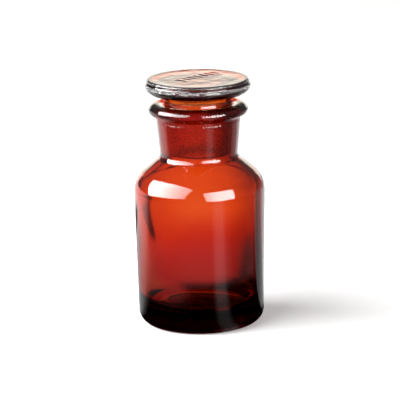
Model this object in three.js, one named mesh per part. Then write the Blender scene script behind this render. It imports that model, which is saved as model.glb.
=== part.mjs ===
// Amber glass reagent bottle with a flat-headed ground glass stopper.
//
// Two pieces of glass: the bottle, and the stopper that sits in the ground
// cone of its neck. Both are turned shapes, so each is one closed profile
// turned about the vertical axis.
// Millimetres, +Z up. The bottle stands on Z = 0 with its axis on X = Y = 0.

import * as THREE from 'three';

// ---- Bottle, outside -------------------------------------------------------

const BODY_RADIUS = 28.5; // widest, at the top of the straight side
const HEEL_WALL_RADIUS = 27.5; // the side draws in a little towards the foot
const HEEL_ROUND = 5.2; // rounding between the side and the foot
const SHOULDER_Z = 59.0; // where the side starts to turn into the shoulder
const SHOULDER_ROUND = 12.1;
const SHOULDER_SLOPE = 39; // degrees above the horizontal
const NECK_FILLET = 3.5; // hollow rounding between shoulder and neck
const NECK_RADIUS_LOW = 16.9;
const NECK_RADIUS_HIGH = 18.3; // right under the lip
const LIP_RADIUS = 21.7;
const LIP_Z = 95.1; // height of the lip's widest line
const LIP_HALF_HEIGHT = 2.8;
const LIP_NOSE_DEPTH = 3.6; // how far the lip's round nose reaches inwards
const LIP_UNDER_FILLET = 0.9;

// ---- Bottle, foot ----------------------------------------------------------

const REST_RING_INNER = 19.0; // flat ring that the bottle stands on
const PUSH_UP_HEIGHT = 1.8; // hollow dome inside the resting ring
const PUSH_UP_EDGE = 1.2; // radial width of the dome's rounded start

// ---- Bottle, inside --------------------------------------------------------

const FLOOR_Z = 8.6; // inner floor at its edge
const FLOOR_CROWN = 0.1; // the floor rises this much to the axis
const FLOOR_ROUND = 6.0;
const INNER_HEEL_RADIUS = 24.2;
const INNER_BODY_RADIUS = 25.2;
const BORE_ENTRY_FILLET = 3.0; // rounding where the shoulder runs into the bore
const BORE_RADIUS_LOW = 13.2; // ground cone of the neck at its lower end
const BORE_LOW_Z = 74.4;
const BORE_TOP_Z = 95.2; // above it the mouth flares out to the lip's crest
const CONE_SLOPE = 0.05; // radius gained per mm of height, a 1:10 cone
const MOUTH_ROUND = 3.2; // radial width of the mouth's flare

// ---- Stopper ---------------------------------------------------------------

const GROUND_GAP = 0.3; // clearance all round between cone and plug
const PLUG_BOTTOM_Z = 75.6;
const PLUG_WALL = 2.2;
const PLUG_END_ROUND = 1.1;
const PLUG_GROUND_TOP_Z = 95.6;
const BEAD_RADIUS = 14.72; // polished bead just above the ground plug
const BEAD_Z = 97.4;
const WAIST_RADIUS = 14.55; // narrowest, under the head's flare
const WAIST_Z = 98.9;
const WAIST_TOP_RADIUS = 16.4;
const WAIST_TOP_Z = 100.9;
const HEAD_RADIUS = 22.9;
const HEAD_BOTTOM_Z = 102.2;
const HEAD_TOP_Z = 108.5;
const HEAD_RIM_Z = 105.7; // height of the head's widest line
const HEAD_ROUND = 3.4; // radial depth of the rim's rounding, above and below
const HEAD_UNDER_FLAT_RADIUS = 18.4; // underside is level out to here
const HEAD_EDGE_RADIUS = 22.0; // the flat top meets the rim here
const HEAD_EDGE_Z = 108.2;
const HOLLOW_WAIST_RADIUS = 13.1;
const HOLLOW_TOP_RADIUS = 14.4; // the hollow widens with the head's flare
const HOLLOW_ROOF_Z = 103.6;
const HOLLOW_ROOF_ROUND = 1.8;

// ---- Tessellation ----------------------------------------------------------

const TURN_STEPS = 48; // facets round the axis
const ARC_STEP = 13; // degrees of each step along a rounding

// ---- Profile helpers -------------------------------------------------------

// Points along an arc of a profile, angles in degrees from the +radius axis
// towards +Z. Both ends are included.
function arc(centreR, centreZ, radius, fromDeg, toDeg, heightRadius = radius) {
  const steps = Math.max(2, Math.ceil(Math.abs(toDeg - fromDeg) / ARC_STEP));
  const points = [];
  for (let i = 0; i <= steps; i += 1) {
    const a = THREE.MathUtils.degToRad(fromDeg + ((toDeg - fromDeg) * i) / steps);
    points.push([centreR + radius * Math.cos(a), centreZ + heightRadius * Math.sin(a)]);
  }
  return points;
}

// A dome from a radius to the axis, or from the axis to a radius: height
// follows a cosine, so it is level on the axis and runs out smoothly.
function dome(radius, edgeZ, axisZ, steps) {
  const points = [];
  for (let i = 0; i <= steps; i += 1) {
    const t = i / steps;
    const rise = 0.5 + 0.5 * Math.cos(Math.PI * t);
    points.push([radius * t, edgeZ + (axisZ - edgeZ) * rise]);
  }
  points[0][0] = 0;
  return points;
}

function coneRadius(z) {
  return BORE_RADIUS_LOW + CONE_SLOPE * (z - BORE_LOW_Z);
}

// Turns a closed profile about +Z. The profile starts and ends on the axis
// and runs anticlockwise: out along the bottom, up the outside, back inside.
function turned(profile) {
  const outline = profile.map(([r, z]) => new THREE.Vector2(Math.max(r, 0), z));
  const geometry = new THREE.LatheGeometry(outline, TURN_STEPS);
  geometry.rotateX(Math.PI / 2);
  return geometry;
}

// ---- Bottle ----------------------------------------------------------------

function footProfile() {
  const restOuter = HEEL_WALL_RADIUS - HEEL_ROUND;
  return [
    ...dome(REST_RING_INNER - PUSH_UP_EDGE, PUSH_UP_HEIGHT * 0.45, PUSH_UP_HEIGHT, 5),
    [REST_RING_INNER - PUSH_UP_EDGE * 0.45, PUSH_UP_HEIGHT * 0.14],
    [REST_RING_INNER, 0],
    ...arc(restOuter, HEEL_ROUND, HEEL_ROUND, -90, 0),
  ];
}

// Side, shoulder and the fillet that carries the shoulder into the neck.
function outerShoulderProfile() {
  const slope = THREE.MathUtils.degToRad(SHOULDER_SLOPE);
  const roundCentreR = BODY_RADIUS - SHOULDER_ROUND;
  const shoulder = arc(roundCentreR, SHOULDER_Z, SHOULDER_ROUND, 0, 90 - SHOULDER_SLOPE);
  const [slopeR, slopeZ] = shoulder[shoulder.length - 1];
  const filletCentreR = NECK_RADIUS_LOW + NECK_FILLET;
  const filletStartR = filletCentreR - NECK_FILLET * Math.sin(slope);
  const filletStartZ = slopeZ + (slopeR - filletStartR) * Math.tan(slope);
  const filletCentreZ = filletStartZ + NECK_FILLET * Math.cos(slope);
  return [
    ...shoulder,
    ...arc(filletCentreR, filletCentreZ, NECK_FILLET, 270 - SHOULDER_SLOPE, 180),
  ];
}

function lipProfile() {
  const noseCentreR = LIP_RADIUS - LIP_NOSE_DEPTH;
  const underZ = LIP_Z - LIP_HALF_HEIGHT;
  const mouthCentreR = coneRadius(BORE_TOP_Z) + MOUTH_ROUND;
  return [
    ...arc(NECK_RADIUS_HIGH + LIP_UNDER_FILLET, underZ - LIP_UNDER_FILLET, LIP_UNDER_FILLET, 180, 90),
    ...arc(noseCentreR, LIP_Z, LIP_NOSE_DEPTH, -62, 90, LIP_HALF_HEIGHT),
    ...arc(mouthCentreR, BORE_TOP_Z, MOUTH_ROUND, 90, 180, LIP_Z + LIP_HALF_HEIGHT - BORE_TOP_Z),
  ];
}

// From the lower end of the ground cone down the inside wall to the floor.
function insideProfile() {
  const slope = THREE.MathUtils.degToRad(SHOULDER_SLOPE);
  const roundCentreR = BODY_RADIUS - SHOULDER_ROUND;
  const innerRound = INNER_BODY_RADIUS - roundCentreR;
  const shoulder = arc(roundCentreR, SHOULDER_Z, innerRound, 90 - SHOULDER_SLOPE, 0);
  const [slopeR, slopeZ] = shoulder[0];
  const filletCentreR = BORE_RADIUS_LOW + BORE_ENTRY_FILLET;
  const filletEndR = filletCentreR - BORE_ENTRY_FILLET * Math.sin(slope);
  const filletEndZ = slopeZ + (slopeR - filletEndR) * Math.tan(slope);
  const filletCentreZ = filletEndZ + BORE_ENTRY_FILLET * Math.cos(slope);
  const floorCentreR = INNER_HEEL_RADIUS - FLOOR_ROUND;
  return [
    ...arc(filletCentreR, filletCentreZ, BORE_ENTRY_FILLET, 180, 270 - SHOULDER_SLOPE),
    ...shoulder,
    ...arc(floorCentreR, FLOOR_Z + FLOOR_ROUND, FLOOR_ROUND, 0, -90),
    ...dome(floorCentreR, FLOOR_Z, FLOOR_Z + FLOOR_CROWN, 4).reverse().slice(1),
  ];
}

function bottleProfile() {
  return [
    ...footProfile(),
    ...outerShoulderProfile(),
    ...lipProfile(),
    ...insideProfile(),
  ];
}

// ---- Stopper ---------------------------------------------------------------

function plugRadius(z) {
  return coneRadius(z) - GROUND_GAP;
}

// Outside of the stopper, from the plug's lower edge up to the top's centre.
function stopperOutsideProfile() {
  const endCentreR = plugRadius(PLUG_BOTTOM_Z) - PLUG_END_ROUND;
  const rimCentreR = HEAD_RADIUS - HEAD_ROUND;
  const underRound = arc(rimCentreR, HEAD_RIM_Z, HEAD_ROUND, -80, 0, HEAD_RIM_Z - HEAD_BOTTOM_Z);
  return [
    ...arc(endCentreR, PLUG_BOTTOM_Z + PLUG_END_ROUND, PLUG_END_ROUND, -90, 0),
    [plugRadius(PLUG_GROUND_TOP_Z), PLUG_GROUND_TOP_Z],
    [BEAD_RADIUS - 0.52, BEAD_Z - 1.0],
    [BEAD_RADIUS - 0.04, BEAD_Z - 0.3],
    [BEAD_RADIUS, BEAD_Z],
    [WAIST_RADIUS, WAIST_Z],
    [WAIST_RADIUS + 0.15, WAIST_Z + 0.6],
    [WAIST_RADIUS + 0.8, WAIST_Z + 1.2],
    [WAIST_TOP_RADIUS, WAIST_TOP_Z],
    [WAIST_TOP_RADIUS + 0.8, HEAD_BOTTOM_Z - 0.45],
    [HEAD_UNDER_FLAT_RADIUS, HEAD_BOTTOM_Z - 0.08],
    ...underRound,
    [HEAD_RADIUS - 0.15, HEAD_RIM_Z + 0.9],
    [HEAD_RADIUS - 0.5, HEAD_RIM_Z + 1.7],
    [HEAD_EDGE_RADIUS, HEAD_EDGE_Z],
    [HEAD_EDGE_RADIUS - 0.4, HEAD_TOP_Z],
    [HEAD_RADIUS * 0.5, HEAD_TOP_Z],
    [0, HEAD_TOP_Z],
  ];
}

// Inside of the hollow plug, from the middle of its roof down to its open end.
function stopperHollowProfile() {
  const roofCentreR = HOLLOW_TOP_RADIUS - HOLLOW_ROOF_ROUND;
  const mouthR = plugRadius(PLUG_BOTTOM_Z) - PLUG_WALL;
  return [
    [0, HOLLOW_ROOF_Z],
    ...arc(roofCentreR, HOLLOW_ROOF_Z - HOLLOW_ROOF_ROUND, HOLLOW_ROOF_ROUND, 90, 25),
    [HOLLOW_TOP_RADIUS - 0.35, HOLLOW_ROOF_Z - 2.2],
    [HOLLOW_WAIST_RADIUS + 0.45, HOLLOW_ROOF_Z - 3.8],
    [HOLLOW_WAIST_RADIUS + 0.1, WAIST_Z - 0.2],
    [HOLLOW_WAIST_RADIUS, WAIST_Z - 1.3],
    [plugRadius(PLUG_GROUND_TOP_Z) - PLUG_WALL + 0.2, PLUG_GROUND_TOP_Z - 3],
    [mouthR, PLUG_BOTTOM_Z + 1.0],
    [mouthR + 0.3, PLUG_BOTTOM_Z + 0.25],
  ];
}

// The stopper's profile closes on itself away from the axis at the plug's open
// end, so it starts on the axis under the roof and ends on the axis on top.
function stopperProfile() {
  return [...stopperHollowProfile(), ...stopperOutsideProfile()];
}

// ---- Assembly --------------------------------------------------------------

const bottleGlass = new THREE.MeshStandardMaterial({
  color: 0xb8401c,
  roughness: 0.05,
  metalness: 0,
  transparent: true,
  opacity: 0.6,
});

const stopperGlass = new THREE.MeshStandardMaterial({
  color: 0xa8401f,
  roughness: 0.3,
  metalness: 0,
  transparent: true,
  opacity: 0.6,
});

const bottle = new THREE.Mesh(turned(bottleProfile()), bottleGlass);
bottle.name = 'bottle';

const stopper = new THREE.Mesh(turned(stopperProfile()), stopperGlass);
stopper.name = 'stopper';

const reagentBottle = new THREE.Group();
reagentBottle.add(bottle, stopper);

export default reagentBottle;
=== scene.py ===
import math

import bpy
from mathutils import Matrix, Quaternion, Vector, noise


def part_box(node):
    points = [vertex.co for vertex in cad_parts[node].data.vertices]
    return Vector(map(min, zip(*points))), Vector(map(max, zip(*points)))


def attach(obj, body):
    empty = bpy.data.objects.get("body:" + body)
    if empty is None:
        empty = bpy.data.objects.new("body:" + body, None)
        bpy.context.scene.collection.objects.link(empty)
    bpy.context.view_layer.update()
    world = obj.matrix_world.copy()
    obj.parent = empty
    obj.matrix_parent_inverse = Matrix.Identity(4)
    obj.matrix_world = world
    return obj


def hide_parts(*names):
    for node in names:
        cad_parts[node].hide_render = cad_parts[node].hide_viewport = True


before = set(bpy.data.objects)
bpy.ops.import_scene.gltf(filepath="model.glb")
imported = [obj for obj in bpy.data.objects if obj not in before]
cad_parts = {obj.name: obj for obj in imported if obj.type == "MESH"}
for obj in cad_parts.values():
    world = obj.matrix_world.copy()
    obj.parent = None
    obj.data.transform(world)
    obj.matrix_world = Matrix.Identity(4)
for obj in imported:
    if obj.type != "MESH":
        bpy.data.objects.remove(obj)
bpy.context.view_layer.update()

MM = 0.001
TURN_STEPS = 192  # columns of each turned mesh, before the seam's own columns
SEAM_AZIMUTHS = (0.0, 180.0)  # the two mould halves meet on the left and the right
SEAM_HALF_WIDTH = 0.30  # mm
SEAM_HEIGHT = 0.07  # mm
SEAM_COLUMNS = (-1.5, -1.0, -0.5, 0.5, 1.0, 1.5)  # in half widths from the seam

# ---- sizes in millimetres, the same as the CAD's ---------------------------

_, bottle_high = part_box("bottle")
stopper_low, stopper_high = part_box("stopper")

BODY_RADIUS = bottle_high.x / MM
BOTTLE_TOP_Z = bottle_high.z / MM
HEEL_WALL_RADIUS = 27.5
HEEL_ROUND = 5.2
SHOULDER_Z = 59.0
SHOULDER_ROUND = 12.1
SHOULDER_SLOPE = 39.0
NECK_FILLET = 3.5
NECK_RADIUS_LOW = 16.9
NECK_RADIUS_HIGH = 18.3
LIP_RADIUS = 21.7
LIP_Z = 95.1
LIP_HALF_HEIGHT = BOTTLE_TOP_Z - LIP_Z
LIP_NOSE_DEPTH = 3.6
LIP_UNDER_FILLET = 0.9
REST_RING_INNER = 19.0
PUSH_UP_HEIGHT = 1.8
PUSH_UP_EDGE = 1.2
FLOOR_Z = 8.6
FLOOR_CROWN = 0.1
FLOOR_ROUND = 6.0
INNER_HEEL_RADIUS = 24.2
INNER_BODY_RADIUS = 25.2
BORE_ENTRY_FILLET = 3.0
BORE_RADIUS_LOW = 13.2
BORE_LOW_Z = 74.4
BORE_TOP_Z = 95.2
CONE_SLOPE = 0.05
MOUTH_ROUND = 3.2

GROUND_GAP = 0.3
PLUG_BOTTOM_Z = stopper_low.z / MM
PLUG_WALL = 2.2
PLUG_END_ROUND = 1.1
PLUG_GROUND_TOP_Z = 95.6
BEAD_RADIUS = 14.72
BEAD_Z = 97.4
WAIST_RADIUS = 14.55
WAIST_Z = 98.9
WAIST_TOP_RADIUS = 16.4
WAIST_TOP_Z = 100.9
HEAD_RADIUS = stopper_high.x / MM
HEAD_BOTTOM_Z = 102.2
HEAD_RIM_Z = 105.7
HEAD_ROUND = 3.4
HEAD_EDGE_RADIUS = 22.0
HEAD_FLAT_RADIUS = HEAD_EDGE_RADIUS - 0.5
HEAD_TOP_Z = stopper_high.z / MM
HEAD_UNDER_FLAT_RADIUS = 18.4
HOLLOW_WAIST_RADIUS = 13.1
HOLLOW_ROOF_Z = 103.6
HOLLOW_ROOF_ROUND = 1.8
HOLLOW_TOP_RADIUS = 14.4

# ---- fine shape, in millimetres, that the CAD leaves out -------------------

LONGEST_STEP = 2.2  # between two rings of a turned mesh
TOP_RING_STEP = 0.3  # radial step of the mesh on the stopper's top
TOP_SWAY = 0.055  # unevenness of the pressed top
TOP_SWAY_FADE = (17, 21)  # radii between which it fades out
RIM_SWAY = 0.05  # unevenness of the head's rim
RIM_GRAIN = 0.11  # depth of the coarse grain on the ground rim
RIM_DEPTH = 2.5  # how far in from the head's widest radius the two above reach
BODY_SWAY = 0.03  # unevenness of the bottle's outside
INSIDE_SWAY = 0.35  # and of its inside
NECK_RING_Z = 90.2  # parting line of the neck mould
NECK_RING_HEIGHT = 0.08
NECK_RING_HALF_WIDTH = 0.35
NECK_RING_STEPS = 4  # on each side of its crest
RELIEF_CENTRE = (0.0, 3.6)
RELIEF_TURN = 49.0  # degrees from +X to the row of raised bars
RELIEF_BARS = 7
RELIEF_PITCH = 3.7
RELIEF_LENGTH = 5.2
RELIEF_HEIGHT = 0.22
RELIEF_FLANK = (0.20, 0.75)  # a bar's side falls between these distances from its middle
RELIEF_TIP = (-0.5, 0.3)  # and its end between these distances past half its length


# ---- profiles, as (r, z) points --------------------------------------------

def arc(centre_r, centre_z, radius, start, end, height=None, step=4.0):
    """An arc from one angle to the other. height is its radius along Z, if it differs."""
    height = radius if height is None else height
    n = max(2, math.ceil(abs(end - start) / step))
    out = []
    for i in range(n + 1):
        a = math.radians(start + (end - start) * i / n)
        out.append((centre_r + radius * math.cos(a), centre_z + height * math.sin(a)))
    return out


def bell(i, steps):
    """1 at step 0, falling smoothly to 0 at the last step on either side."""
    return 0.5 + 0.5 * math.cos(math.pi * i / steps)


def dome(radius, edge_z, axis_z, steps):
    """From the axis out to the radius, level at both ends."""
    return [
        (radius * i / steps, edge_z + (axis_z - edge_z) * bell(i, steps))
        for i in range(steps + 1)
    ]


def straight(a, b, longest):
    n = max(1, math.ceil(math.dist(a, b) / longest))
    return [(a[0] + (b[0] - a[0]) * i / n, a[1] + (b[1] - a[1]) * i / n) for i in range(n + 1)]


def filled(profile, longest):
    """The profile with points added so that no step is longer than longest."""
    out = [profile[0]]
    for a, b in zip(profile, profile[1:]):
        out += straight(a, b, longest)[1:]
    return out


def spline(points, steps):
    """A Catmull-Rom curve through the points."""
    out = []
    p = [points[0]] + list(points) + [points[-1]]
    for i in range(1, len(p) - 2):
        for s in range(steps):
            t = s / steps
            row = []
            for k in (0, 1):
                a, b, c, d = p[i - 1][k], p[i][k], p[i + 1][k], p[i + 2][k]
                row.append(0.5 * (2 * b + (c - a) * t + (2 * a - 5 * b + 4 * c - d) * t * t
                                  + (3 * b - a - 3 * c + d) * t ** 3))
            out.append(tuple(row))
    out.append(tuple(points[-1]))
    return out


def cone_radius(z):
    """Radius of the neck's ground cone at this height."""
    return BORE_RADIUS_LOW + CONE_SLOPE * (z - BORE_LOW_Z)


def plug_radius(z):
    return cone_radius(z) - GROUND_GAP


def fillet_z(r, z, fillet_r, fillet):
    """Height of a fillet's centre, where it meets the shoulder's slope through (r, z)."""
    slope = math.radians(SHOULDER_SLOPE)
    run = r - fillet_r + fillet * math.sin(slope)
    return z + run * math.tan(slope) + fillet * math.cos(slope)


def neck_ring(neck_foot):
    """The fine ridge that the neck mould's parting line leaves round the neck."""
    foot_r, foot_z = neck_foot
    top_z = LIP_Z - LIP_HALF_HEIGHT - LIP_UNDER_FILLET
    out = []
    for i in range(-NECK_RING_STEPS, NECK_RING_STEPS + 1):
        z = NECK_RING_Z + NECK_RING_HALF_WIDTH * i / NECK_RING_STEPS
        wall = foot_r + (NECK_RADIUS_HIGH - foot_r) * (z - foot_z) / (top_z - foot_z)
        out.append((wall + NECK_RING_HEIGHT * bell(i, NECK_RING_STEPS), z))
    return out


def bottle_profile():
    """From the middle of the push-up, up the outside, and down the inside to the floor."""
    round_r = BODY_RADIUS - SHOULDER_ROUND
    shoulder = arc(round_r, SHOULDER_Z, SHOULDER_ROUND, 0, 90 - SHOULDER_SLOPE)
    neck_r = NECK_RADIUS_LOW + NECK_FILLET
    neck_z = fillet_z(*shoulder[-1], neck_r, NECK_FILLET)
    neck = arc(neck_r, neck_z, NECK_FILLET, 270 - SHOULDER_SLOPE, 180)
    under_z = LIP_Z - LIP_HALF_HEIGHT
    mouth_r = cone_radius(BORE_TOP_Z) + MOUTH_ROUND
    push_up_edge = (REST_RING_INNER - PUSH_UP_EDGE, PUSH_UP_HEIGHT * 0.45)
    foot = dome(*push_up_edge, PUSH_UP_HEIGHT, 24)
    foot += spline([
        push_up_edge,
        (REST_RING_INNER - PUSH_UP_EDGE * 0.45, PUSH_UP_HEIGHT * 0.14),
        (REST_RING_INNER, 0),
    ], 4)[1:]
    outside = (
        foot
        + arc(HEEL_WALL_RADIUS - HEEL_ROUND, HEEL_ROUND, HEEL_ROUND, -90, 0)
        + shoulder
        + neck
        + neck_ring(neck[-1])
        + arc(NECK_RADIUS_HIGH + LIP_UNDER_FILLET, under_z - LIP_UNDER_FILLET,
              LIP_UNDER_FILLET, 180, 90, step=15)
        + arc(LIP_RADIUS - LIP_NOSE_DEPTH, LIP_Z, LIP_NOSE_DEPTH, -62, 90, LIP_HALF_HEIGHT)
        + arc(mouth_r, BORE_TOP_Z, MOUTH_ROUND, 90, 180, BOTTLE_TOP_Z - BORE_TOP_Z, step=9)
    )
    shoulder_in = arc(round_r, SHOULDER_Z, INNER_BODY_RADIUS - round_r, 90 - SHOULDER_SLOPE, 0)
    entry_r = BORE_RADIUS_LOW + BORE_ENTRY_FILLET
    entry_z = fillet_z(*shoulder_in[0], entry_r, BORE_ENTRY_FILLET)
    floor_r = INNER_HEEL_RADIUS - FLOOR_ROUND
    inside = (
        arc(entry_r, entry_z, BORE_ENTRY_FILLET, 180, 270 - SHOULDER_SLOPE)
        + shoulder_in
        + arc(floor_r, FLOOR_Z + FLOOR_ROUND, FLOOR_ROUND, 0, -90)
        + dome(floor_r, FLOOR_Z, FLOOR_Z + FLOOR_CROWN, 16)[::-1][1:]
    )
    return filled(outside + inside, LONGEST_STEP)


def stopper_profile():
    """From the middle of the hollow's roof, down the inside, up the outside and over the top."""
    end_r = plug_radius(PLUG_BOTTOM_Z) - PLUG_END_ROUND
    mouth_r = plug_radius(PLUG_BOTTOM_Z) - PLUG_WALL
    roof_r = HOLLOW_TOP_RADIUS - HOLLOW_ROOF_ROUND
    rim_r = HEAD_RADIUS - HEAD_ROUND
    hollow = (
        straight((0, HOLLOW_ROOF_Z), (roof_r, HOLLOW_ROOF_Z), 0.8)[:-1]
        + arc(roof_r, HOLLOW_ROOF_Z - HOLLOW_ROOF_ROUND, HOLLOW_ROOF_ROUND, 90, 25, step=6)
        + spline([
            (HOLLOW_TOP_RADIUS - 0.35, HOLLOW_ROOF_Z - 2.2),
            (HOLLOW_WAIST_RADIUS + 0.45, HOLLOW_ROOF_Z - 3.8),
            (HOLLOW_WAIST_RADIUS + 0.1, WAIST_Z - 0.2),
            (HOLLOW_WAIST_RADIUS, WAIST_Z - 1.3),
            (plug_radius(PLUG_GROUND_TOP_Z) - PLUG_WALL + 0.2, PLUG_GROUND_TOP_Z - 3),
            (mouth_r, PLUG_BOTTOM_Z + 1.0),
            (mouth_r + 0.35, PLUG_BOTTOM_Z + 0.2),
        ], 3)
    )
    outside = (
        arc(end_r, PLUG_BOTTOM_Z + PLUG_END_ROUND, PLUG_END_ROUND, -90, 0, step=15)
        + spline([
            (plug_radius(PLUG_GROUND_TOP_Z), PLUG_GROUND_TOP_Z),
            (BEAD_RADIUS - 0.52, BEAD_Z - 1.0),
            (BEAD_RADIUS - 0.04, BEAD_Z - 0.3),
            (BEAD_RADIUS, BEAD_Z),
            (WAIST_RADIUS, WAIST_Z),
            (WAIST_RADIUS + 0.15, WAIST_Z + 0.6),
            (WAIST_RADIUS + 0.8, WAIST_Z + 1.2),
            (WAIST_TOP_RADIUS, WAIST_TOP_Z),
            (WAIST_TOP_RADIUS + 0.8, HEAD_BOTTOM_Z - 0.45),
            (HEAD_UNDER_FLAT_RADIUS, HEAD_BOTTOM_Z - 0.08),
        ], 4)
        + arc(rim_r, HEAD_RIM_Z, HEAD_ROUND, -80, 0, HEAD_RIM_Z - HEAD_BOTTOM_Z, step=6)
        + spline([
            (HEAD_RADIUS, HEAD_RIM_Z),
            (HEAD_RADIUS - 0.12, HEAD_RIM_Z + 0.8),
            (HEAD_RADIUS - 0.38, HEAD_RIM_Z + 1.35),
            (HEAD_RADIUS - 0.74, HEAD_RIM_Z + 1.62),
            (HEAD_RADIUS - 0.60, HEAD_RIM_Z + 1.86),
            (HEAD_RADIUS - 0.64, HEAD_RIM_Z + 2.15),
            (HEAD_RADIUS - 0.74, HEAD_TOP_Z - 0.34),
            (HEAD_EDGE_RADIUS - 0.08, HEAD_TOP_Z - 0.08),
            (HEAD_FLAT_RADIUS, HEAD_TOP_Z),
        ], 4)[1:]
        + straight((HEAD_FLAT_RADIUS, HEAD_TOP_Z), (0, HEAD_TOP_Z), TOP_RING_STEP)[1:]
    )
    return filled(hollow + outside, LONGEST_STEP)


# ---- turned meshes ---------------------------------------------------------

def turn_angles(seams):
    """The azimuths of the columns, in degrees, with a few more at each seam."""
    angles = [360.0 * i / TURN_STEPS for i in range(TURN_STEPS)]
    if seams:
        per_mm = 360.0 / (2 * math.pi * BODY_RADIUS)
        for s in SEAM_AZIMUTHS:
            for k in SEAM_COLUMNS:
                angles.append((s + k * SEAM_HALF_WIDTH * per_mm) % 360.0)
    return sorted(angles)


def seam_rise(angle, r):
    """Height in mm of the mould seam's fine ridge at this azimuth."""
    off = min(abs((angle - s + 180) % 360 - 180) for s in SEAM_AZIMUTHS)
    across = math.radians(off) * r / SEAM_HALF_WIDTH
    return SEAM_HEIGHT * max(0.0, 1.0 - across)


def turned(name, profile, shape, marks, body, node, seams=False):
    """A closed mesh of the profile turned about Z, each point moved by shape().

    marks gives, for each point attribute, its value from (r, z)."""
    angles = turn_angles(seams)
    verts, faces = [], []
    values = {key: [] for key in marks}
    rings = []
    for index, (r, z) in enumerate(profile):
        if r < 1e-6:
            rings.append([len(verts)])
            verts.append((0.0, 0.0, z * MM))
            for key, mark in marks.items():
                values[key].append(mark(r, z))
            continue
        ring = []
        for a in angles:
            rr, zz = shape(r, z, a, index)
            t = math.radians(a)
            ring.append(len(verts))
            verts.append((rr * math.cos(t) * MM, rr * math.sin(t) * MM, zz * MM))
        for key, mark in marks.items():
            values[key] += [mark(r, z)] * len(angles)
        rings.append(ring)
    n = len(angles)
    for low, high in zip(rings, rings[1:]):
        for i in range(n):
            j = (i + 1) % n
            if len(low) == 1 and len(high) == 1:
                continue
            if len(low) == 1:
                faces.append((low[0], high[j], high[i]))
            elif len(high) == 1:
                faces.append((low[i], low[j], high[0]))
            else:
                faces.append((low[i], low[j], high[j], high[i]))
    mesh = bpy.data.meshes.new(name)
    mesh.from_pydata(verts, [], faces)
    mesh.validate()
    for key in marks:
        layer = mesh.attributes.new(key, "FLOAT", "POINT")
        layer.data.foreach_set("value", values[key])
    mesh.polygons.foreach_set("use_smooth", [True] * len(mesh.polygons))
    mesh.update()
    obj = bpy.data.objects.new(name, mesh)
    bpy.context.scene.collection.objects.link(obj)
    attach(obj, body)
    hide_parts(node)
    return obj


# ---- fine shape and ground surfaces ----------------------------------------

# Noise is read at the point's place in millimetres times a factor: the larger
# the factor, the finer the unevenness.
#
# A point attribute "ground" scales the glass's roughness, and "frost" the
# depth of its fine grain and its whitish specks.
CONE_GROUND_START = BORE_LOW_Z + 0.6
CONE_GROUND_END = BORE_TOP_Z - 0.3
CONE_MATCH = 0.25  # mm: a point this near the cone counts as on it
PLUG_MATCH = 0.12  # and this near the plug's surface as on the plug
FOOT_GROUND = 1.2
FOOT_GROUND_EDGE = (22.5, 24.5)  # radii in mm between which it fades out
BOTTLE_FROST = 0.2
PLUG_FROST = 0.1
RIM_GROUND = 0.4
BEVEL_SHARE = 0.2


def smooth(x, low, high):
    """0 below low, 1 above high, and a smooth step between."""
    t = min(1.0, max(0.0, (x - low) / (high - low)))
    return t * t * (3 - 2 * t)


def bottle_ground(r, z):
    if abs(r - cone_radius(z)) < CONE_MATCH and CONE_GROUND_START <= z <= CONE_GROUND_END:
        return 1.0
    under_foot = 1 - smooth(z, PUSH_UP_HEIGHT + 0.1, PUSH_UP_HEIGHT + 0.5)
    return FOOT_GROUND * under_foot * (1 - smooth(r, *FOOT_GROUND_EDGE))


def bottle_frost(r, z):
    return BOTTLE_FROST if bottle_ground(r, z) > 0 else 0.0


def bottle_shape(r, z, angle, index):
    t = math.radians(angle)
    point = Vector((r * math.cos(t), r * math.sin(t), z))
    # All of the inside's points are in the second half of the profile's list.
    inner = (r < INNER_BODY_RADIUS + 0.1 and FLOOR_Z - 0.1 < z < BORE_LOW_Z and
             r < BODY_RADIUS - 3.0 and index > len(bottle_points) * 0.5)
    if inner:
        wave = noise.noise(point * 0.045 + Vector((7, 3, 1))) * INSIDE_SWAY
        return r + wave * smooth(r, 2, 12), z
    on_seam = r > NECK_RADIUS_LOW and 1.0 < z < LIP_Z - LIP_HALF_HEIGHT - 1
    rise = seam_rise(angle, r) if on_seam else 0.0
    wave = noise.noise(point * 0.06) * BODY_SWAY
    return r + wave * smooth(r, 2, 12) * smooth(z, 0.2, 4) + rise, z


def relief(x, y):
    """Height in mm of the raised bars across the middle of the stopper's top."""
    turn = math.radians(RELIEF_TURN)
    dx, dy = x - RELIEF_CENTRE[0], y - RELIEF_CENTRE[1]
    bar = (dx * math.cos(turn) + dy * math.sin(turn)) / RELIEF_PITCH
    if abs(round(bar)) > RELIEF_BARS // 2:
        return 0.0
    side = abs(bar - round(bar)) * RELIEF_PITCH
    tip = abs(dy * math.cos(turn) - dx * math.sin(turn)) - RELIEF_LENGTH / 2
    return RELIEF_HEIGHT * (1 - smooth(side, *RELIEF_FLANK)) * (1 - smooth(tip, *RELIEF_TIP))


def rim_frost(r, z):
    """1 on the head's ground rim, less on the bevel above it, and 0 elsewhere."""
    if r < HEAD_RADIUS - 1.2:
        return 0.0
    rim = (smooth(z, HEAD_RIM_Z - 0.9, HEAD_RIM_Z - 0.2)
           * (1 - smooth(z, HEAD_RIM_Z + 0.4, HEAD_RIM_Z + 1.0)))
    bevel = (smooth(z, HEAD_RIM_Z + 1.8, HEAD_RIM_Z + 2.0)
             * (1 - smooth(z, HEAD_TOP_Z - 0.35, HEAD_TOP_Z - 0.2)))
    return rim + BEVEL_SHARE * bevel


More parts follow.
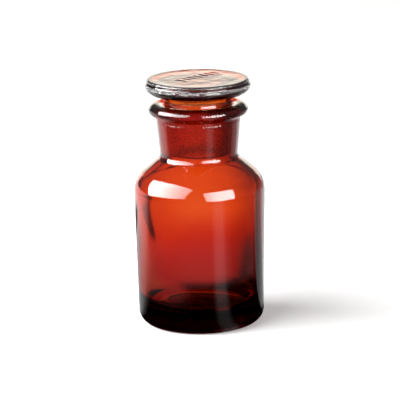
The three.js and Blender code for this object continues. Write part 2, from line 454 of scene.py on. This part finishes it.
def stopper_shape(r, z, angle, index):
    t = math.radians(angle)
    x, y = r * math.cos(t), r * math.sin(t)
    if z > HEAD_TOP_Z - 0.01:
        broad = noise.noise(Vector((x * 0.11, y * 0.11, 4.0)))
        sway = broad + 0.5 * noise.noise(Vector((x * 0.3, y * 0.3, 9.0)))
        return r, z + (TOP_SWAY * (sway - 1.0) * (1 - smooth(r, *TOP_SWAY_FADE)) + relief(x, y))
    if r > HEAD_RADIUS - RIM_DEPTH and z > HEAD_BOTTOM_Z:
        swayed = r + RIM_SWAY * noise.noise(Vector((x * 0.5, y * 0.5, z * 0.5)))
        grain = RIM_GRAIN * noise.noise(Vector((x * 1.9, y * 1.9, z * 2.6)))
        return swayed + grain * rim_frost(r, z), z
    return r, z


def on_plug(r, z):
    in_reach = PLUG_BOTTOM_Z + 1.0 < z < PLUG_GROUND_TOP_Z + 0.5
    return in_reach and abs(r - plug_radius(z)) < PLUG_MATCH


def stopper_ground(r, z):
    return 1.0 if on_plug(r, z) else RIM_GROUND * rim_frost(r, z)


def stopper_frost(r, z):
    return PLUG_FROST if on_plug(r, z) else rim_frost(r, z)


# ---- materials -------------------------------------------------------------

# Absorption per metre for red, green and blue. The shader's own number is
# DENSITY times one minus its colour.
DENSITY = 850.0
BOTTLE_ABSORB = (74.0, 435.0, 800.0)
STOPPER_ABSORB = (85.0, 320.0, 620.0)
GLASS_IOR = 1.52
ROUGH_SPREAD = 0.12  # either side of a ground surface's middle roughness
SPECK_SCALE = 1000
SPECK_EDGE = (0.48, 0.58)  # noise levels between which a speck sets in


class Graph:
    """Short calls for the sums in a node tree."""

    def __init__(self, tree):
        self.tree = tree

    def node(self, kind):
        return self.tree.nodes.new(kind)

    def put(self, socket, value):
        if isinstance(value, bpy.types.NodeSocket):
            self.tree.links.new(value, socket)
        else:
            socket.default_value = value

    def math(self, operation, a, b=0.0):
        n = self.node("ShaderNodeMath")
        n.operation = operation
        self.put(n.inputs[0], a)
        self.put(n.inputs[1], b)
        return n.outputs[0]

    def ramp(self, value, low, high, at_low=0.0, at_high=1.0, kind="SMOOTHSTEP"):
        """From at_low to at_high as value goes from low to high, in a smooth step."""
        n = self.node("ShaderNodeMapRange")
        n.interpolation_type = kind
        self.put(n.inputs["Value"], value)
        n.inputs["From Min"].default_value = low
        n.inputs["From Max"].default_value = high
        n.inputs["To Min"].default_value = at_low
        n.inputs["To Max"].default_value = at_high
        return n.outputs["Result"]

    def hump(self, value, start, top, end_top, end):
        """0, rising to 1 between start and top, back to 0 between end_top and end."""
        return self.times(self.ramp(value, start, top), self.ramp(value, end_top, end, 1.0, 0.0))

    def add(self, a, b):
        return self.math("ADD", a, b)

    def times(self, a, b):
        return self.math("MULTIPLY", a, b)

    def less(self, a, share=1.0):
        """One minus a share of a."""
        return self.math("SUBTRACT", 1.0, a if share == 1.0 else self.times(a, share))

    def attribute(self, name):
        n = self.node("ShaderNodeAttribute")
        n.attribute_name = name
        return n.outputs["Fac"]

    def noise(self, scale, detail, roughness=0.5):
        """Noise in the object's own coordinates."""
        n = self.node("ShaderNodeTexNoise")
        n.inputs["Scale"].default_value = scale
        n.inputs["Detail"].default_value = detail
        n.inputs["Roughness"].default_value = roughness
        self.put(n.inputs["Vector"], self.node("ShaderNodeTexCoord").outputs["Object"])
        return n.outputs["Fac"]

    def xyz(self, vector):
        n = self.node("ShaderNodeSeparateXYZ")
        self.put(n.inputs[0], vector)
        return n.outputs

    def place(self):
        """Distance from the bottle's axis, and degrees round it.

        The degrees are 0 on the camera's side, 90 on its right and 180 behind."""
        pos = self.xyz(self.node("ShaderNodeNewGeometry").outputs["Position"])
        x, y = pos["X"], pos["Y"]
        away = self.math("SQRT", self.add(self.times(x, x), self.times(y, y)))
        turn = self.math("ARCTAN2", x, self.times(y, -1.0))
        return away, self.times(turn, 180 / math.pi)


def blank_material(name):
    """A material with an empty node tree, and the short calls for it."""
    mat = bpy.data.materials.new(name)
    mat.use_nodes = True
    mat.node_tree.nodes.clear()
    return mat, Graph(mat.node_tree)


def amber(name, absorb, ground_rough, grit_scale, grit_depth, frost=0.0):
    """Clear glass with a volume that absorbs, ground where the mesh's attributes say so."""
    mat, g = blank_material(name)
    out = g.node("ShaderNodeOutputMaterial")
    glass = g.node("ShaderNodeBsdfPrincipled")
    glass.inputs["Base Color"].default_value = (1, 1, 1, 1)
    glass.inputs["IOR"].default_value = GLASS_IOR
    glass.inputs["Transmission Weight"].default_value = 1.0
    vol = g.node("ShaderNodeVolumeAbsorption")
    vol.inputs["Color"].default_value = (*(1 - a / DENSITY for a in absorb), 1)
    vol.inputs["Density"].default_value = DENSITY
    grit = g.noise(grit_scale, 3.0, 0.65)
    rough = g.ramp(grit, 0.3, 0.7, ground_rough - ROUGH_SPREAD, ground_rough + ROUGH_SPREAD,
                   kind="LINEAR")
    g.put(glass.inputs["Roughness"], g.times(rough, g.attribute("ground")))
    frosted = g.attribute("frost")
    bump = g.node("ShaderNodeBump")
    bump.inputs["Distance"].default_value = grit_depth
    g.put(bump.inputs["Height"], grit)
    g.put(bump.inputs["Strength"], frosted)
    g.put(glass.inputs["Normal"], bump.outputs["Normal"])
    if frost:
        specks = g.ramp(g.noise(SPECK_SCALE, 2.0), *SPECK_EDGE, 0.0, frost, kind="LINEAR")
        g.put(glass.inputs["Transmission Weight"], g.less(g.times(specks, frosted)))
    g.put(out.inputs["Surface"], glass.outputs["BSDF"])
    g.put(out.inputs["Volume"], vol.outputs["Volume"])
    return mat


def matt(name, grey, roughness, specular):
    mat = bpy.data.materials.new(name)
    mat.use_nodes = True
    p = mat.node_tree.nodes["Principled BSDF"]
    p.inputs["Base Color"].default_value = (grey, grey, grey, 1)
    p.inputs["Roughness"].default_value = roughness
    p.inputs["Specular IOR Level"].default_value = specular
    return mat


# ---- the two pieces --------------------------------------------------------

glass = amber("amber_glass", BOTTLE_ABSORB, 0.20, 1600, 0.0008)
stopper_glass = amber("amber_stopper_glass", STOPPER_ABSORB, 0.27, 1300, 0.0016, frost=0.26)

bottle_points = bottle_profile()
bottle = turned("bottle_glass", bottle_points, bottle_shape,
                {"ground": bottle_ground, "frost": bottle_frost},
                "bottle", "bottle", seams=True)
bottle.data.materials.append(glass)
stopper = turned("stopper_glass", stopper_profile(), stopper_shape,
                 {"ground": stopper_ground, "frost": stopper_frost},
                 "stopper", "stopper")
stopper.data.materials.append(stopper_glass)


# ---- stage, lights, camera -------------------------------------------------

# The glass shows a room that the camera doesn't see. Lengths are in metres and
# angles in degrees round the bottle, 0 on the camera's side and 90 on its right.
FLOOR_HALF = 6.0
FLOOR_GREY = 0.45
TABLE_HALF = 3.0
TABLE_Z = -0.0005
SECTOR_STEPS = 24
EDGE_SECTOR = (102, 180)
EDGE_NEAR = 0.034
EDGE_FAR = 0.50
EDGE_Z = -0.0003
FRONT_SECTOR = (-85, 85)
FRONT_NEAR = 0.09
FRONT_FAR = 2.0
FRONT_Z = -0.0004
FLAG_HALF_WIDTH = 0.13
FLAG_Y = 0.3
FLAG_LOW_Z = 0.085
FLAG_HIGH_Z = 0.155
LAMP_AIM = Vector((0, 0, 0.06))
LAMP_DISTANCE = 1.6
WHITE = (1.0, 1.0, 1.0)
WARM = (1.0, 0.93, 0.80)
WORLD_FOR_GLASS = 0.20
WORLD_FOR_CAMERA = 0.97
CAMERA_SENSOR = 36.0  # mm
CAMERA_LENS = 205.2  # mm
CAMERA_ELEVATION = math.radians(14.3)
CAMERA_DISTANCE = 1.0
CAMERA_CENTRE = Vector((0.0, 0.0, 0.050))  # what the distance is measured from
CAMERA_AIM = Vector((0.0001, 0.0, 0.0541))
CAMERA_ROLL = math.radians(-1.03)


def stage_mesh(name, corners, faces, material):
    mesh = bpy.data.meshes.new(name)
    mesh.from_pydata(corners, [], faces)
    mesh.materials.append(material)
    obj = bpy.data.objects.new(name, mesh)
    bpy.context.scene.collection.objects.link(obj)
    return obj


def square(half, z):
    corners = [(-half, -half, z), (half, -half, z), (half, half, z), (-half, half, z)]
    return corners, [(0, 1, 2, 3)]


def for_glass_only(obj):
    obj.visible_camera = False
    obj.visible_diffuse = False
    obj.visible_shadow = False


def glowing(mat, g, strength, colour=None):
    """Finish the material as one that gives off light of this strength."""
    glow = g.node("ShaderNodeEmission")
    if colour is not None:
        g.put(glow.inputs["Color"], colour)
    g.put(glow.inputs["Strength"], strength)
    out = g.node("ShaderNodeOutputMaterial")
    g.put(out.inputs["Surface"], glow.outputs[0])
    return mat


def pale_floor():
    obj = stage_mesh("floor", *square(FLOOR_HALF, 0.0), matt("pale_floor", FLOOR_GREY, 0.9, 0.1))
    obj.visible_glossy = False
    obj.visible_transmission = False


def light_behind(g, away, az):
    """Brightness of the glowing sheet's far half, which the glass shows: painted shade round the
    foot and in darker sectors, among them the bottle's own painted shadow to its right, and
    painted light further out.
    """
    far_edge = g.ramp(away, 0.024, 0.048)
    left_edge = g.ramp(away, 0.010, 0.022)
    left = g.hump(az, -172, -155, -95, -70)
    near = g.add(g.times(far_edge, g.less(left)), g.times(left_edge, left))
    back = g.add(g.times(near, 0.60), g.ramp(away, 0.05, 0.22, 0.0, 0.79))
    # shadow is a painted shadow of the bottle on its right; side, left_side, dim, distant and
    # slot are more painted shade.
    shadow = g.times(g.hump(az, 50, 90, 158, 167), g.ramp(away, 0.110, 0.150, 0.88, 0.0))
    side = g.times(g.hump(az, 84, 96, 146, 154), g.ramp(away, 0.19, 0.30, 0.88, 0.75))
    left_side = g.times(g.hump(az, -103, -97, -75, -60), g.ramp(away, 0.12, 0.16))
    dim = g.hump(az, 146, 156, 164, 174)
    distant = g.times(g.hump(az, 150, 160, 167, 180), g.ramp(away, 0.22, 0.32, 0.0, 0.38))
    lean = g.add(az, g.ramp(away, 0.148, 0.192, 0.0, -12.0))
    slot = g.times(g.times(g.ramp(az, -163.5, -160.5), g.less(g.ramp(lean, -157, -152))),
                   g.hump(away, 0.140, 0.154, 0.200, 0.230))
    back = g.times(g.times(back, g.less(shadow)), g.less(side))
    back = g.times(back, g.less(left_side, 0.75))
    back = g.times(g.times(back, g.less(dim, 0.38)), g.less(distant))
    return g.times(back, g.less(slot, 0.92))


def light_in_front(g, away, az):
    """Brightness of the glowing sheet's near half: painted shade round the foot and to the right,
    and a painted streak of light to the right of the camera.
    """
    ahead = g.ramp(az, -45, -10)
    lit = g.add(g.times(g.ramp(away, 0.060, 0.095), g.less(ahead)),
                g.times(g.ramp(away, 0.088, 0.110), ahead))
    front = g.times(g.times(lit, g.ramp(az, -60, -10, 0.30, 0.40)),
                    g.less(g.hump(az, 45, 55, 100, 120), 0.5))
    front = g.times(front, g.ramp(away, 0.140, 0.180, 1.0, 0.52))
    streak = g.times(g.hump(az, 17, 27, 35, 45),
                     g.add(g.ramp(away, 0.012, 0.030, 0.0, 0.25),
                           g.ramp(away, 0.05, 0.09, 0.0, 0.35)))
    return g.add(front, streak)


def light_table():
    """A glowing sheet in place of the table top, which only the glass shows and which lights
    nothing: painted shade round the foot, painted light further out.
    """
    mat, g = blank_material("light_table")
    away, az = g.place()
    turned_away = g.math("ABSOLUTE", az)
    behind = g.ramp(turned_away, 88, 115)
    level = g.add(g.times(light_behind(g, away, az), behind),
                  g.times(light_in_front(g, away, az), g.less(behind)))
    # Painted red glow on the sheet behind the bottle, where light through the amber glass would
    # fall.
    red = g.times(g.ramp(turned_away, 140, 160), g.ramp(away, 0.10, 0.22, 0.85, 0.0))
    tint = g.node("ShaderNodeCombineColor")
    tint.inputs["Red"].default_value = 1.0
    g.put(tint.inputs["Green"], g.less(red))
    g.put(tint.inputs["Blue"], g.less(red))
    glowing(mat, g, level, tint.outputs["Color"])
    for_glass_only(stage_mesh("light_table", *square(TABLE_HALF, TABLE_Z), mat))


def sector_card(name, sector, near, far, z, level):
    """A glowing sheet round part of the table, which lights nothing and only the glass shows:
    painted light. level(g, away, az) gives its brightness.
    """
    start, end = sector
    turns = [math.radians(start + (end - start) * i / SECTOR_STEPS)
             for i in range(SECTOR_STEPS + 1)]
    inner = [(near * math.sin(t), -near * math.cos(t), 0.0) for t in turns]
    outer = [(far * math.sin(t), -far * math.cos(t), 0.0) for t in turns]
    n = len(turns)
    faces = [(i, i + 1, n + i + 1, n + i) for i in range(n - 1)]
    mat, g = blank_material(name)
    glowing(mat, g, level(g, *g.place()))
    obj = stage_mesh(name, inner + outer, faces, mat)
    obj.location.z = z
    for_glass_only(obj)
    return obj


# Painted reflection: the bright veil on the glass's right-hand silhouette.
def edge_level(g, away, az):
    bright = g.add(g.ramp(az, 103.5, 107.5, 0.0, 0.42), g.ramp(az, 108, 126, 0.0, 0.14))
    bright = g.add(bright, g.ramp(az, 128, 142, 0.0, 0.60))
    return g.times(bright, g.ramp(away, EDGE_NEAR, 0.046))


# Painted light, seen only through the glass, which brightens it when it is looked at from behind.
def front_level(g, away, az):
    bright = g.add(g.ramp(away, FRONT_NEAR, 0.13, 0.0, 0.55), g.ramp(away, 0.13, 0.25, 0.0, 0.22))
    return g.times(bright, g.ramp(g.math("ABSOLUTE", az), 60, 85, 1.0, 0.3))


def black_flag():
    """A low black card behind the bottle, seen only through the glass, which hides the backlight
    from the view through its foot: a dark sheet put in as painted shade on the foot.
    """
    corners = [(-FLAG_HALF_WIDTH, FLAG_Y, FLAG_LOW_Z), (FLAG_HALF_WIDTH, FLAG_Y, FLAG_LOW_Z),
               (FLAG_HALF_WIDTH, FLAG_Y, FLAG_HIGH_Z), (-FLAG_HALF_WIDTH, FLAG_Y, FLAG_HIGH_Z)]
    obj = stage_mesh("black_flag", corners, [(0, 1, 2, 3)], matt("black_card", 0.01, 1.0, 0.0))
    for_glass_only(obj)
    obj.visible_glossy = False


def softbox(name, azimuth, elevation, width, height, radiance,
            colour=WHITE, only_through_glass=False, fall=None, roll=0.0):
    """A rectangular lamp that faces the bottle, seen in reflections or only through glass.

    fall grades it from one side to the other: from, to, brightness at from, at to."""
    lamp = bpy.data.lights.new(name, "AREA")
    lamp.shape = "RECTANGLE"
    lamp.size = width
    lamp.size_y = height
    lamp.color = colour
    if fall:
        lamp.use_nodes = True
        g = Graph(lamp.node_tree)
        across = g.xyz(g.node("ShaderNodeNewGeometry").outputs["Parametric"])["X"]
        g.put(lamp.node_tree.nodes["Emission"].inputs["Strength"], g.ramp(across, *fall))
    lamp.energy = radiance * math.pi * width * height
    obj = bpy.data.objects.new(name, lamp)
    a, e = math.radians(azimuth), math.radians(elevation)
    way = Vector((math.sin(a) * math.cos(e), -math.cos(a) * math.cos(e), math.sin(e)))
    obj.location = LAMP_AIM + way * LAMP_DISTANCE
    facing = way.to_track_quat("Z", "Y") @ Quaternion((0, 0, 1), math.radians(roll))
    obj.rotation_euler = facing.to_euler()
    obj.visible_camera = False
    obj.visible_transmission = only_through_glass
    obj.visible_glossy = not only_through_glass
    bpy.context.scene.collection.objects.link(obj)


def studio_world():
    """A dim room for the glass, and a white one behind the picture."""
    world = bpy.data.worlds.new("studio")
    bpy.context.scene.world = world
    world.use_nodes = True
    world.node_tree.nodes.clear()
    g = Graph(world.node_tree)
    seen = g.node("ShaderNodeLightPath").outputs["Is Camera Ray"]
    sky = g.node("ShaderNodeBackground")
    g.put(sky.inputs["Strength"], g.add(g.times(g.less(seen), WORLD_FOR_GLASS),
                                        g.times(seen, WORLD_FOR_CAMERA)))
    out = g.node("ShaderNodeOutputWorld")
    g.put(out.inputs["Surface"], sky.outputs[0])


def camera():
    cam_data = bpy.data.cameras.new("camera")
    cam_data.sensor_width = CAMERA_SENSOR
    cam_data.lens = CAMERA_LENS
    cam_data.clip_start = 0.01
    cam_data.clip_end = 50
    cam = bpy.data.objects.new("camera", cam_data)
    bpy.context.scene.collection.objects.link(cam)
    back = Vector((0, -math.cos(CAMERA_ELEVATION), math.sin(CAMERA_ELEVATION)))
    cam.location = CAMERA_CENTRE + back * CAMERA_DISTANCE
    facing = (CAMERA_AIM - cam.location).normalized().to_track_quat("-Z", "Y")
    cam.rotation_mode = "QUATERNION"
    cam.rotation_quaternion = facing @ Quaternion((0, 0, 1), CAMERA_ROLL)
    bpy.context.scene.camera = cam


pale_floor()
light_table()
# edge_card is seen only in reflections, a painted reflection; front_card only through the glass,
# painted light.
edge_card = sector_card("edge_card", EDGE_SECTOR, EDGE_NEAR, EDGE_FAR, EDGE_Z, edge_level)
edge_card.visible_transmission = False
front_card = sector_card("front_card", FRONT_SECTOR, FRONT_NEAR, FRONT_FAR, FRONT_Z, front_level)
front_card.visible_glossy = False
black_flag()
softbox("softbox_left", -68, 30, 2.65, 1.54, 15, fall=(0.30, 1.0, 1.35, 0.50), roll=8)
softbox("softbox_right", 36.5, 15, 1.62, 1.10, 15, fall=(0.0, 0.45, 0.55, 1.15))
softbox("backdrop", 180, 4.0, 0.62, 1.85, 1.8, colour=WARM, fall=(0.80, 1.0, 1.20, 0.50), roll=90)
softbox("backlight", 180, 19.7, 0.80, 0.20, 2.4, colour=WARM, only_through_glass=True)
softbox("left_glow", -160, 10, 0.68, 0.66, 1.0, colour=WARM, only_through_glass=True)
studio_world()
camera()
bpy.context.scene.view_settings.view_transform = "Standard"
